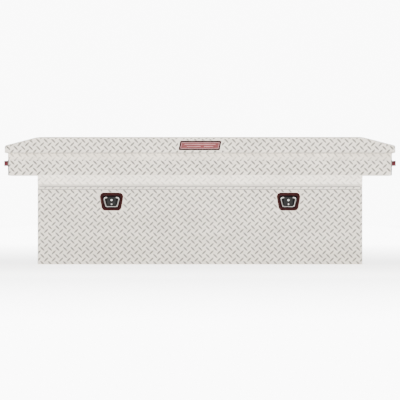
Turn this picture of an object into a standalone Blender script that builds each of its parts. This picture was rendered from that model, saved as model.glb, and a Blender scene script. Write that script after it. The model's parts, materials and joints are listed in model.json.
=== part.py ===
"""Truck tool box: a crossover (saddle) box in aluminium tread plate.

Frame: metres, +Z up, +X along the box, the front faces -Y, the floor is at Z = 0.
The box hangs between the bed rails of a truck; its two wings rest on the rails.
Each object is one physical piece. Left pieces mirror the right ones across X = 0.
"""
import math

import bmesh
import bpy
from mathutils import Matrix, Vector

# ---- driving dimensions --------------------------------------------------------------
LID_HALF = 0.908          # lid, half of the overall length
LID_FLAT_HALF = 0.754     # where the flat top starts to slope down to the ends
LID_TOP = 0.592
LID_END_TOP = 0.552       # top of the lid at its ends
LID_EDGE = 0.520          # lower edge of the lid skirts
LID_FRONT = -0.2517       # outer face of the lid's front skirt
LID_REAR = 0.2488
TRAY_HALF = 0.8925        # tray ends, outer faces
TRAY_FRONT = -0.250
TRAY_REAR = 0.2447
TRAY_NECK = -0.244        # front rim, set back under the lid
TRAY_BOTTOM = 0.414       # underside of the wings
TRAY_SHOULDER = 0.489     # where the tray front starts to lean back
RIM_TOP = 0.532
HOPPER_HALF = 0.755
HOPPER_FRONT = -0.226
HOPPER_REAR = 0.226
HOPPER_SHEET_TOP = 0.369
FLANGE_LOW, FLANGE_TOP = 0.351, 0.371     # where the tray laps over the hopper sheets
SHEET = 0.002
GAP = 0.0003              # clearance between neighbouring pieces
BEND = 0.0025             # radius of the folds
BEND_STEPS = 3
FLOOR_LIP = 0.020         # the hopper floor's turned-up front and rear edges
WING_LIP = 0.022          # the wing floors' turned-down inner edges
REAR_FLANGE_RUN = 0.0056  # keeps the hopper ends clear of the tray's rear fold
LINER_LOW = 0.540         # the lid's inner pan
LINER_THICK = 0.0015
LINER_LIP = 0.010
SEAL_WIDTH = 0.006
SHARP_ANGLE = math.radians(35)

HINGE_Y, HINGE_Z = 0.2495, 0.515
KNUCKLE_R, KNUCKLE_BORE, HINGE_PIN_R = 0.0045, 0.0032, 0.0026
LEAF, LEAF_REACH = 0.0015, 0.030
LEAF_Y = HINGE_Y - KNUCKLE_R      # inner face of both leaves
HINGE_HALF = 0.885
KNUCKLES = 24
KNUCKLE_GAP = 0.0005

LATCH_Y = -0.110          # mid-plane of the push-button lock and its latch
BUTTON_Z = 0.471
BUTTON_END = 0.9155
BUTTON_R = 0.0125
BUTTON_INNER, BUTTON_SHOULDER = 0.869, 0.880
BUTTON_STEM_R = 0.004
BUTTON_EASE = 0.0015
PLUG_R, PLUG_DEPTH = 0.006, 0.020
KEYWAY_HALF_W, KEYWAY_HALF_H = 0.0008, 0.0036
BEZEL_R, BEZEL_NOSE_R = 0.0245, 0.0150
BEZEL_EDGE, BEZEL_PROUD = 0.0008, 0.0055
BEZEL_THREAD_R, BEZEL_HOLE_R, BEZEL_BORE_R = 0.0160, 0.0165, 0.0131
BEZEL_INNER = 0.876
NUT_R, NUT_BORE_R, NUT_THICK = 0.0215, 0.0164, 0.006
WEB_NEAR, WEB_FAR = 0.005, 0.007       # latch bracket web, measured from LATCH_Y
PLATE_HALF = 0.003                     # half the thickness of the hook and the lever
HOOK_X, HOOK_Z = 0.862, 0.495
LEVER_X, LEVER_Z = 0.8665, 0.430
LATCH_PIN_R = 0.0025
LATCH_BORE_R = 0.0028
STRIKER_X, STRIKER_Z, STRIKER_R = 0.853, 0.5105, 0.003

STRUT_X = 0.800
STRUT_BASE = (0.1725, 0.438)      # (Y, Z) of the lower pivot
STRUT_TIP = (-0.0275, 0.513)      # (Y, Z) of the upper eye, lid closed
TUBE_R, TUBE_BORE_R, ROD_R = 0.0090, 0.0046, 0.0040
EYE_R, EYE_BORE_R, STUD_R = 0.0070, 0.0034, 0.0030
TUBE_START, TUBE_END, TUBE_FLOOR, ROD_START = 0.009, 0.190, 0.022, 0.030
BRACKET_THICK, BRACKET_FOOT = 0.002, 0.028
HANGER_THICK, HANGER_FOOT = 0.0025, 0.024

TIE_X, TIE_Z = 0.412, 0.2923
TIE_TOP_HALF, TIE_BOTTOM_HALF, TIE_HALF_H = 0.0580, 0.0440, 0.0420
TIE_CORNER = 0.018
RING_R = 0.0030
RING_AXIS_Y, RING_AXIS_Z = -0.2180, 0.3118
RING_TOP_HALF, RING_BOTTOM_HALF, RING_DROP = 0.0372, 0.0262, 0.0430
RING_END_HALF, RING_CORNER = 0.0140, 0.0085
PAN_INSET, PAN_DEPTH, PAN_PROUD, PAN_SHEET = 0.0125, 0.018, 0.003, 0.002
PAN_HOLE_INSET = 0.0035   # the hopper front's cutout, hidden under the pan's flange
CLIP_FOOT, CLIP_HALF, CLIP_LOW = 0.002, 0.0205, 0.0170
TIE_BOLTS = (("upper", 0.0077, 0.0048), ("lower", -0.0118, 0.0035))   # height over TIE_Z, head
TIE_BOLT_R, TIE_BOLT_HOLE_R = 0.0019, 0.0023

BADGE_Z, BADGE_HALF, BADGE_HALF_H, BADGE_SLANT = 0.5537, 0.0955, 0.0208, 0.004
BADGE_RIM, BADGE_PROUD, BADGE_POCKET = 0.0042, 0.002, 0.0008

SIDES = (("right", 1), ("left", -1))

# ---- materials: colour, roughness, metallic --------------------------------------------
TREAD_PLATE = ("tread_plate", (0.80, 0.79, 0.77), 0.38, 1.0)
MILL_SHEET = ("mill_sheet", (0.74, 0.74, 0.73), 0.42, 1.0)
ZINC = ("zinc_steel", (0.62, 0.62, 0.60), 0.40, 1.0)
STAINLESS = ("stainless", (0.78, 0.78, 0.77), 0.25, 1.0)
BLACK_STEEL = ("black_steel", (0.03, 0.03, 0.03), 0.45, 0.0)
SEAL_RUBBER = ("seal_rubber", (0.02, 0.02, 0.02), 0.85, 0.0)
LOCK_RED = ("lock_red", (0.28, 0.03, 0.04), 0.35, 0.3)
PAN_MAROON = ("pan_maroon", (0.06, 0.008, 0.010), 0.35, 0.0)
CLIP_GREY = ("clip_grey", (0.045, 0.05, 0.048), 0.45, 0.2)
CHROME = ("chrome", (0.90, 0.90, 0.90), 0.08, 1.0)
BADGE_DARK = ("badge_dark", (0.05, 0.02, 0.02), 0.35, 0.3)
BADGE_RED = ("badge_red", (0.62, 0.12, 0.13), 0.35, 0.0)


def clear_scene():
    for obj in list(bpy.data.objects):
        bpy.data.objects.remove(obj, do_unlink=True)


def material(spec):
    name, colour, roughness, metallic = spec
    mat = bpy.data.materials.get(name)
    if mat is None:
        mat = bpy.data.materials.new(name)
        mat.use_nodes = True
        shader = mat.node_tree.nodes["Principled BSDF"]
        shader.inputs["Base Color"].default_value = (*colour, 1.0)
        shader.inputs["Roughness"].default_value = roughness
        shader.inputs["Metallic"].default_value = metallic
    return mat


def add(name, bm, spec, origin=(0, 0, 0), smooth=False):
    """Make an object from a bmesh given in world coordinates, with its origin moved."""
    bmesh.ops.recalc_face_normals(bm, faces=bm.faces)
    bmesh.ops.translate(bm, verts=bm.verts, vec=-Vector(origin))
    mesh = bpy.data.meshes.new(name)
    bm.to_mesh(mesh)
    bm.free()
    if smooth:
        mesh.shade_smooth()
        mesh.set_sharp_from_angle(angle=SHARP_ANGLE)
    obj = bpy.data.objects.new(name, mesh)
    obj.location = origin
    bpy.context.collection.objects.link(obj)
    if spec is not None:
        mesh.materials.append(material(spec))
    return obj


def boolean(obj, tool, operation="DIFFERENCE"):
    """Cut or join `tool` (kept hidden) into `obj`."""
    tool.hide_render = True
    tool.display_type = "WIRE"
    tool.hide_set(True)
    mod = obj.modifiers.new(operation.lower(), "BOOLEAN")
    mod.operation = operation
    mod.object = tool
    return obj


# ---- shape helpers -----------------------------------------------------------------------
AXIS_ORDER = {"X": lambda a, b, h: (h, a, b), "Y": lambda a, b, h: (a, h, b),
              "Z": lambda a, b, h: (a, b, h)}


def loft(bm, rings, closed=False):
    """Skin a list of equal-length rings of points; caps the ends unless it closes up."""
    rows = [[bm.verts.new(p) for p in ring] for ring in rings]
    count = len(rows[0])
    pairs = list(zip(rows, rows[1:]))
    if closed:
        pairs.append((rows[-1], rows[0]))
    for low, high in pairs:
        for i in range(count):
            j = (i + 1) % count
            bm.faces.new((low[i], low[j], high[j], high[i]))
    if not closed:
        bm.faces.new(rows[0][::-1])
        bm.faces.new(rows[-1])
    return bm


def prism(outline, axis, low, high, bm=None):
    """Extrude a 2-D outline along an axis. The outline lists the two other axes in order."""
    place = AXIS_ORDER[axis]
    rings = [[place(a, b, h) for a, b in outline] for h in (low, high)]
    return loft(bm or bmesh.new(), rings)


def box(x, y, z, bm=None):
    return prism([(x[0], y[0]), (x[1], y[0]), (x[1], y[1]), (x[0], y[1])], "Z", *z, bm=bm)


def circle(radius, count, centre=(0, 0), phase=0.0):
    step = 2 * math.pi / count
    return [(centre[0] + radius * math.cos(step * i + phase),
             centre[1] + radius * math.sin(step * i + phase)) for i in range(count)]


def revolve(profile, axis, centre, count=24, closed=False, bm=None):
    """Turn (height, radius) points about an axis through `centre` (the two other axes)."""
    place = AXIS_ORDER[axis]
    rings = [[place(a, b, h) for a, b in circle(r, count, centre)] for h, r in profile]
    return loft(bm or bmesh.new(), rings, closed)


def fillet(points, radius, steps=BEND_STEPS, closed=False):
    """Round the corners of a polyline with arcs."""
    count = len(points)
    out = []
    for i, point in enumerate(points):
        if not closed and i in (0, count - 1):
            out.append(tuple(point))
            continue
        here = Vector(point)
        to_prev = (Vector(points[i - 1]) - here).normalized()
        to_next = (Vector(points[(i + 1) % count]) - here).normalized()
        half = to_prev.angle(to_next) / 2
        reach = radius / math.tan(half)
        centre = here + (to_prev + to_next).normalized() * (radius / math.sin(half))
        start, end = here + to_prev * reach - centre, here + to_next * reach - centre
        turn = math.atan2(start.x * end.y - start.y * end.x, start.dot(end))
        for k in range(steps + 1):
            angle = turn * k / steps
            c, s = math.cos(angle), math.sin(angle)
            out.append((centre.x + c * start.x - s * start.y,
                        centre.y + s * start.x + c * start.y))
    return out


def offset(points, distance, closed=False):
    """Shift a polyline sideways (to the left of its direction) with mitred corners."""
    count = len(points)
    out = []
    for i, point in enumerate(points):
        here = Vector(point)
        before = here - Vector(points[i - 1]) if closed or i else None
        after = Vector(points[(i + 1) % count]) - here if closed or i < count - 1 else None
        before = (before or after).normalized()
        after = (after or before).normalized()
        bisector = (Vector((-before.y, before.x)) + Vector((-after.y, after.x))).normalized()
        scale = distance / max(0.2, bisector.dot(Vector((-before.y, before.x))))
        out.append((here.x + bisector.x * scale, here.y + bisector.y * scale))
    return out


def folded_sheet(profile, stations, present, thickness=SHEET, radius=BEND):
    """A bent sheet: a (Y, Z) profile of its outer face drawn out along X.

    `present(i, k)` tells whether the sheet exists between stations i and i + 1 at
    profile segment k; the thickness lies to the left of the profile's direction.
    """
    outer, segment_of = [], []
    rounded = [[profile[0]]]
    for k in range(1, len(profile) - 1):
        rounded.append(fillet(profile[k - 1:k + 2], radius)[1:-1])
    rounded.append([profile[-1]])
    for k, points in enumerate(rounded):
        outer.extend(points)
        segment_of.extend([max(0, k - 1)] * (len(points) - 1 if k else 0))
        if k < len(rounded) - 1:
            segment_of.append(k)
    inner = offset(outer, thickness)
    bm = bmesh.new()
    grid = {}

    def vert(side, i, j):
        key = (side, i, j)
        if key not in grid:
            y, z = (outer if side == 0 else inner)[j]
            grid[key] = bm.verts.new((stations[i], y, z))
        return grid[key]

    cells = [(i, j) for i in range(len(stations) - 1) for j in range(len(outer) - 1)
             if present(i, segment_of[j])]
    taken = set(cells)
    for i, j in cells:
        for side in (0, 1):
            bm.faces.new([vert(side, *c) for c in ((i, j), (i + 1, j), (i + 1, j + 1),
                                                   (i, j + 1))])
        for step, edge in (((-1, 0), ((i, j), (i, j + 1))), ((1, 0), ((i + 1, j), (i + 1, j + 1))),
                           ((0, -1), ((i, j), (i + 1, j))),
                           ((0, 1), ((i, j + 1), (i + 1, j + 1)))):
            if (i + step[0], j + step[1]) not in taken:
                a, b = edge
                bm.faces.new((vert(0, *a), vert(0, *b), vert(1, *b), vert(1, *a)))
    return bm


def rod(name, points, radius, spec, origin=(0, 0, 0)):
    """A round bar along a path, from a bevelled curve with filled ends."""
    curve = bpy.data.curves.new(name + "_path", "CURVE")
    curve.dimensions = "3D"
    curve.bevel_depth = radius
    curve.bevel_resolution = 2
    curve.use_fill_caps = True
    spline = curve.splines.new("POLY")
    spline.points.add(len(points) - 1)
    for target, point in zip(spline.points, points):
        target.co = (*(Vector(point) - Vector(origin)), 1.0)
    holder = bpy.data.objects.new(name + "_path", curve)
    bpy.context.collection.objects.link(holder)
    mesh = bpy.data.meshes.new_from_object(holder)
    mesh.name = name
    bpy.data.objects.remove(holder, do_unlink=True)
    bm = bmesh.new()
    bm.from_mesh(mesh)
    bmesh.ops.remove_doubles(bm, verts=bm.verts, dist=0.00005)
    bmesh.ops.recalc_face_normals(bm, faces=bm.faces)
    bm.to_mesh(mesh)
    bm.free()
    mesh.materials.clear()
    mesh.materials.append(material(spec))
    mesh.shade_smooth()
    mesh.set_sharp_from_angle(angle=SHARP_ANGLE)
    obj = bpy.data.objects.new(name, mesh)
    obj.location = origin
    bpy.context.collection.objects.link(obj)
    return obj


def drill(name, axis, centre, radius, low, high, count=16):
    return add(name, revolve([(low, radius), (high, radius)], axis, centre, count), None)


# ---- hopper: the deep body between the bed rails -------------------------------------------
def trapezoid(inset, centre, steps=BEND_STEPS):
    """Outline of a tie-down fitting, wide at the top, shrunk by `inset`."""
    top, bottom, high = TIE_TOP_HALF - inset, TIE_BOTTOM_HALF - inset, TIE_HALF_H - inset
    points = [(-bottom, -high), (bottom, -high), (top, high), (-top, high)]
    corner = TIE_CORNER - 0.6 * inset
    return [(x + centre[0], z + centre[1]) for x, z in fillet(points, corner, steps, True)]


def build_hopper():
    front = add("hopper_front_panel",
                box((-HOPPER_HALF, HOPPER_HALF), (HOPPER_FRONT, HOPPER_FRONT + SHEET),
                    (0.0, HOPPER_SHEET_TOP)), TREAD_PLATE)
    for side, sign in SIDES:
        hole = trapezoid(PAN_HOLE_INSET, centre=(sign * TIE_X, TIE_Z), steps=1)
        boolean(front, add("tie_down_cutout_" + side,
                           prism(hole, "Y", HOPPER_FRONT - 0.01, HOPPER_FRONT + 0.01), None))
    add("hopper_rear_panel",
        box((-HOPPER_HALF, HOPPER_HALF), (HOPPER_REAR - SHEET, HOPPER_REAR),
            (0.0, HOPPER_SHEET_TOP)), TREAD_PLATE)
    inner_front, inner_rear = HOPPER_FRONT + SHEET + GAP, HOPPER_REAR - SHEET - GAP
    floor_half = HOPPER_HALF - SHEET - GAP
    add("hopper_floor",
        folded_sheet([(inner_front, FLOOR_LIP), (inner_front, 0.0), (inner_rear, 0.0),
                      (inner_rear, FLOOR_LIP)], (-floor_half, floor_half), lambda i, k: True),
        TREAD_PLATE)
    under_wing = TRAY_BOTTOM - GAP
    ear = TRAY_FRONT + SHEET + 3 * GAP
    wall_front = inner_front + 3 * GAP
    outline = [(wall_front, 0.0), (inner_rear, 0.0), (inner_rear, FLANGE_TOP),
               (-ear - REAR_FLANGE_RUN, under_wing), (ear, under_wing),
               (wall_front, FLANGE_TOP + 2 * SHEET)]
    for side, sign in SIDES:
        add("hopper_end_" + side,
            prism(outline, "X", sign * (HOPPER_HALF - SHEET), sign * HOPPER_HALF), TREAD_PLATE)


# ---- tray: the wide upper body whose wings rest on the rails --------------------------------
def build_tray():
    flange = HOPPER_FRONT - GAP - SHEET
    front = [(TRAY_NECK, RIM_TOP), (TRAY_NECK, LID_EDGE), (TRAY_FRONT, TRAY_SHOULDER),
             (TRAY_FRONT, TRAY_BOTTOM), (flange, FLANGE_TOP), (flange, FLANGE_LOW)]
    half = TRAY_HALF - SHEET - GAP
    stations = (-half, -HOPPER_HALF, HOPPER_HALF, half)
    wing_segments = 3
    add("tray_front",
        folded_sheet(front, stations, lambda i, k: i == 1 or k < wing_segments), TREAD_PLATE)
    rear_flange = HOPPER_REAR + GAP + SHEET
    rear = [(rear_flange, FLANGE_LOW), (rear_flange, FLANGE_TOP), (TRAY_REAR, TRAY_BOTTOM),
            (TRAY_REAR, RIM_TOP)]
    add("tray_rear", folded_sheet(rear, stations, lambda i, k: i == 1 or k > 1), TREAD_PLATE)

    end = [(TRAY_FRONT, TRAY_BOTTOM), (TRAY_REAR, TRAY_BOTTOM), (TRAY_REAR, RIM_TOP),
           (TRAY_NECK, RIM_TOP), (TRAY_NECK, LID_EDGE), (TRAY_FRONT, TRAY_SHOULDER)]
    wing = (HOPPER_HALF - SHEET - GAP, TRAY_HALF - SHEET - GAP)
    y_range = (TRAY_FRONT + SHEET + 2 * GAP, TRAY_REAR - SHEET - 2 * GAP)
    for side, sign in SIDES:
        wall = add("tray_end_" + side,
                   prism(end, "X", sign * (TRAY_HALF - SHEET), sign * TRAY_HALF), TREAD_PLATE)
        boolean(wall, drill("lock_hole_" + side, "X", (LATCH_Y, BUTTON_Z), BEZEL_HOLE_R,
                            sign * (TRAY_HALF - 0.01), sign * (TRAY_HALF + 0.01), 24))
        over_hopper = HOPPER_HALF + GAP
        shelf = [(wing[0] - SHEET, TRAY_BOTTOM + SHEET), (wing[1], TRAY_BOTTOM + SHEET),
                 (wing[1], TRAY_BOTTOM), (over_hopper, TRAY_BOTTOM),
                 (over_hopper, TRAY_BOTTOM + GAP), (wing[0] - SHEET, TRAY_BOTTOM + GAP)]
        shelf = [(sign * x, z) for x, z in shelf]
        floor = add("wing_floor_" + side, prism(shelf, "Y", *y_range), TREAD_PLATE)
        tab = box(sorted((sign * wing[0], sign * (wing[0] - SHEET))),
                  (HOPPER_FRONT + SHEET, HOPPER_REAR - SHEET),
                  (TRAY_BOTTOM - WING_LIP, TRAY_BOTTOM + SHEET / 2))
        boolean(floor, add("wing_lip_" + side, tab, None), "UNION")


def ring_outline(outer_x, front, rear, corner):
    points = [(-outer_x, front), (outer_x, front), (outer_x, rear), (-outer_x, rear)]
    return fillet(points, corner, 3, True)


def build_seal():
    """A bulb seal standing on the rim all round the mouth of the box."""
    low, high = RIM_TOP + GAP, LINER_LOW - GAP
    front, rear, outer = TRAY_NECK - 0.002, TRAY_REAR - 0.0004, TRAY_HALF + 0.002
    shoulder, corner = SEAL_WIDTH / 4, 2 * SEAL_WIDTH
    rings = []
    for inset, z in ((0, low), (0, high - shoulder), (shoulder, high),
                     (SEAL_WIDTH - shoulder, high), (SEAL_WIDTH, high - shoulder),
                     (SEAL_WIDTH, low)):
        rings.append([(x, y, z) for x, y in
                      ring_outline(outer - inset, front + inset, rear - inset, corner - inset)])
    add("weather_seal", loft(bmesh.new(), rings, closed=True), SEAL_RUBBER, smooth=True)


# ---- lid ------------------------------------------------------------------------------------
def build_lid():
    """Top, sloped ends and skirts as one folded shell, open below."""
    slope = (LID_TOP - LID_END_TOP) / (LID_HALF - LID_FLAT_HALF)

    def section(shrink):
        half, flat = LID_HALF - shrink, LID_FLAT_HALF - slope * shrink
        top, end = LID_TOP - shrink, LID_END_TOP - shrink
        return [(-half, LID_EDGE), (half, LID_EDGE), (half, end), (flat, top),
                (-flat, top), (-half, end)]
    shell = add("lid_shell", prism(section(0.0), "Y", LID_FRONT, LID_REAR), TREAD_PLATE)
    hollow = section(SHEET)
    hollow[0] = (hollow[0][0], LID_EDGE - 0.01)
    hollow[1] = (hollow[1][0], LID_EDGE - 0.01)
    boolean(shell, add("lid_hollow",
                       prism(hollow, "Y", LID_FRONT + SHEET, LID_REAR - SHEET), None))
    half = LID_HALF - SHEET - GAP
    front, rear = LID_FRONT + SHEET + GAP, LEAF_Y - GAP
    lip = LINER_LOW + LINER_LIP
    add("lid_liner", folded_sheet([(front, lip), (front, LINER_LOW), (rear, LINER_LOW),
                                   (rear, lip)], (-half, half), lambda i, k: True,
                                  LINER_THICK, LINER_THICK + 2 * GAP), MILL_SHEET)


def badge_outline(inset):
    half, high = BADGE_HALF - inset, BADGE_HALF_H - inset
    slant = BADGE_SLANT * high / BADGE_HALF_H
    points = [(-half - slant, BADGE_Z - high), (half - slant, BADGE_Z - high),
              (half + slant, BADGE_Z + high), (-half + slant, BADGE_Z + high)]
    return fillet(points, 0.003 if inset < 0.001 else 0.002, 3, True)


def build_badge():
    """A plain slanted plate: a dark frame with a red enamel inlay, no lettering."""
    back = LID_FRONT - GAP
    front, pocket = back - BADGE_PROUD, back - BADGE_POCKET
    ease = 0.0004
    rings = [[(x, y, z) for x, z in badge_outline(inset)]
             for inset, y in ((0.0, back), (0.0, front + ease), (ease, front),
                              (BADGE_RIM, front), (BADGE_RIM, pocket))]
    add("badge_frame", loft(bmesh.new(), rings), BADGE_DARK)
    add("badge_inlay", prism(badge_outline(BADGE_RIM + GAP), "Y", pocket - GAP, front + GAP),
        BADGE_RED)


# ---- piano hinge ----------------------------------------------------------------------------
def build_hinge():
    slot = 2 * HINGE_HALF / KNUCKLES
    for name, up, own in (("hinge_lid_leaf", 1, 0), ("hinge_body_leaf", -1, 1)):
        arc = circle(KNUCKLE_R, 12, (HINGE_Y, HINGE_Z))
        leaf = box((-HINGE_HALF, HINGE_HALF), (LEAF_Y, LEAF_Y + LEAF),
                   sorted((HINGE_Z + up * 0.001, HINGE_Z + up * LEAF_REACH)))
        obj = add(name, leaf, STAINLESS)
        boolean(obj, add(name + "_barrel", prism(arc, "X", -HINGE_HALF, HINGE_HALF), None),
                "UNION")
        boolean(obj, drill(name + "_bore", "X", (HINGE_Y, HINGE_Z), KNUCKLE_BORE,
                           -HINGE_HALF - 0.01, HINGE_HALF + 0.01, 12))
        gaps = bmesh.new()
        for i in range(KNUCKLES):
            if i % 2 != own:
                start = -HINGE_HALF + i * slot - (0.01 if i == 0 else KNUCKLE_GAP)
                end = (-HINGE_HALF + (i + 1) * slot
                       + (0.01 if i == KNUCKLES - 1 else KNUCKLE_GAP))
                box((start, end), (LEAF_Y - 0.001, HINGE_Y + KNUCKLE_R + 0.001),
                    sorted((HINGE_Z - up * 0.006, HINGE_Z + up * (KNUCKLE_R + KNUCKLE_GAP))),
                    bm=gaps)
        boolean(obj, add(name + "_slots", gaps, None))
    add("hinge_pin", revolve([(-HINGE_HALF, HINGE_PIN_R), (HINGE_HALF, HINGE_PIN_R)], "X",
                             (HINGE_Y, HINGE_Z), 12), STAINLESS, smooth=True)


# ---- push-button locks and latches -------------------------------------------------------------
def mirrored(sign, points):
    return [(sign * a, b) for a, b in points]


def build_locks():
    wall_out, wall_in = TRAY_HALF + GAP, TRAY_HALF - SHEET - GAP
    axis = (LATCH_Y, BUTTON_Z)
    for side, sign in SIDES:
        nose = wall_out + BEZEL_PROUD
        bezel = [(wall_out, BEZEL_R), (wall_out + BEZEL_EDGE, BEZEL_R), (nose, BEZEL_NOSE_R),
                 (nose, BEZEL_BORE_R), (BEZEL_INNER, BEZEL_BORE_R),
                 (BEZEL_INNER, BEZEL_THREAD_R), (wall_out, BEZEL_THREAD_R)]
        add("lock_bezel_" + side, revolve(mirrored(sign, bezel), "X", axis, 28, True),
            LOCK_RED, smooth=True)
        nut = add("lock_nut_" + side,
                  revolve([(sign * wall_in, NUT_R), (sign * (wall_in - NUT_THICK), NUT_R)], "X",
                          axis, 6), ZINC)
        boolean(nut, drill("lock_nut_bore_" + side, "X", axis, NUT_BORE_R,
                           sign * (wall_in - 0.02), sign * (wall_in + 0.01), 28))
        cap = [(BUTTON_INNER, BUTTON_STEM_R), (BUTTON_SHOULDER, BUTTON_STEM_R),
               (BUTTON_SHOULDER, BUTTON_R), (BUTTON_END - BUTTON_EASE, BUTTON_R),
               (BUTTON_END, BUTTON_R - BUTTON_EASE), (BUTTON_END, PLUG_R + GAP),
               (BUTTON_END - PLUG_DEPTH, PLUG_R + GAP)]
        add("push_button_" + side, revolve(mirrored(sign, cap), "X", axis, 28), LOCK_RED,
            origin=(sign * BUTTON_SHOULDER, *axis), smooth=True)
        plug = add("lock_plug_" + side,
                   revolve(mirrored(sign, [(BUTTON_END - PLUG_DEPTH + 0.0005, PLUG_R),
                                           (BUTTON_END - 0.0005, PLUG_R)]), "X", axis, 20),
                   CHROME, origin=(sign * BUTTON_SHOULDER, *axis), smooth=True)
        keyway = box((sign * (BUTTON_END - 0.012), sign * (BUTTON_END + 0.008)),
                     (LATCH_Y - KEYWAY_HALF_W, LATCH_Y + KEYWAY_HALF_W),
                     (BUTTON_Z - KEYWAY_HALF_H, BUTTON_Z + KEYWAY_HALF_H))
        boolean(plug, add("keyway_" + side, keyway, None))
        build_latch(side, sign)


def build_latch(side, sign):
    """Bracket, trip lever, hook and the striker loop of one end's latch."""
    plates = (LATCH_Y - PLATE_HALF, LATCH_Y + PLATE_HALF)
    floor = TRAY_BOTTOM + SHEET + GAP
    web = (LATCH_Y + WEB_NEAR, LATCH_Y + WEB_FAR)
    foot = [(web[0], floor), (LATCH_Y + 0.032, floor), (LATCH_Y + 0.032, floor + 0.002),
            (web[1], floor + 0.002), (web[1], 0.503), (web[0], 0.503)]
    bracket = add("latch_bracket_" + side,
                  prism(foot, "X", sign * 0.852, sign * 0.872), ZINC)
    for name, centre in (("hook", (HOOK_X, HOOK_Z)), ("lever", (LEVER_X, LEVER_Z))):
        at = (sign * centre[0], centre[1])
        boolean(bracket, drill(f"latch_{name}_hole_{side}", "Y", at, LATCH_BORE_R,
                               web[0] - 0.01, web[1] + 0.01))
        shank = [(plates[0] - 0.0022, 0.0040), (plates[0] - GAP, 0.0040),
                 (plates[0] - GAP, LATCH_PIN_R), (web[1] + GAP, LATCH_PIN_R),
                 (web[1] + GAP, 0.0040), (web[1] + 0.002, 0.0040)]
        add(f"{name}_pin_{side}", revolve(shank, "Y", at, 16), STAINLESS, smooth=True)
    x, z = HOOK_X, HOOK_Z
    hook = [(x - 0.004, z - 0.0175), (x + 0.002, z - 0.0175), (x + 0.002, z - 0.006),
            (x + 0.006, z - 0.002), (x + 0.006, z + 0.003), (x + 0.0035, z + 0.007),
            (x + 0.0035, z + 0.0255), (x - 0.011, z + 0.0255), (x - 0.011, z + 0.0195),
            (x - 0.0040, z + 0.0195), (x - 0.0040, z + 0.006), (x - 0.006, z + 0.003),
            (x - 0.006, z - 0.003), (x - 0.004, z - 0.006)]
    obj = add("latch_hook_" + side, prism(mirrored(sign, hook), "Y", *plates), ZINC,
              origin=(sign * x, LATCH_Y, z))
    boolean(obj, drill("hook_bore_" + side, "Y", (sign * x, z), LATCH_BORE_R,
                       plates[0] - 0.01, plates[1] + 0.01))
    x, z = LEVER_X, LEVER_Z
    lever = [(x - 0.006, z - 0.003), (x - 0.003, z - 0.006), (x + 0.003, z - 0.006),
             (x + 0.0055, z - 0.003), (x + 0.0055, z + 0.004), (x + 0.002, z + 0.010),
             (x + 0.002, z + 0.049), (x - 0.002, z + 0.049), (x - 0.002, z + 0.010),
             (x - 0.006, z + 0.004)]
    obj = add("trip_lever_" + side, prism(mirrored(sign, lever), "Y", *plates), ZINC,
              origin=(sign * x, LATCH_Y, z))
    boolean(obj, drill("lever_bore_" + side, "Y", (sign * x, z), LATCH_BORE_R,
                       plates[0] - 0.01, plates[1] + 0.01))
    leg, plate_top = 0.013, LINER_LOW - GAP
    plate = add("striker_" + side,
                box(sorted((sign * 0.843, sign * 0.863)), (LATCH_Y - 0.020, LATCH_Y + 0.020),
                    (plate_top - 0.003, plate_top)), STAINLESS)
    corner = 0.005
    path = [(LATCH_Y - leg, plate_top - 0.0015)]
    path += fillet([(LATCH_Y - leg, plate_top), (LATCH_Y - leg, STRIKER_Z),
                    (LATCH_Y + leg, STRIKER_Z), (LATCH_Y + leg, plate_top)], corner, 4)[1:-1]
    path += [(LATCH_Y + leg, plate_top - 0.0015)]
    loop = rod("striker_loop_" + side, [(sign * STRIKER_X, y, z) for y, z in path], STRIKER_R,
               STAINLESS)
    boolean(plate, loop, "UNION")


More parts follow.
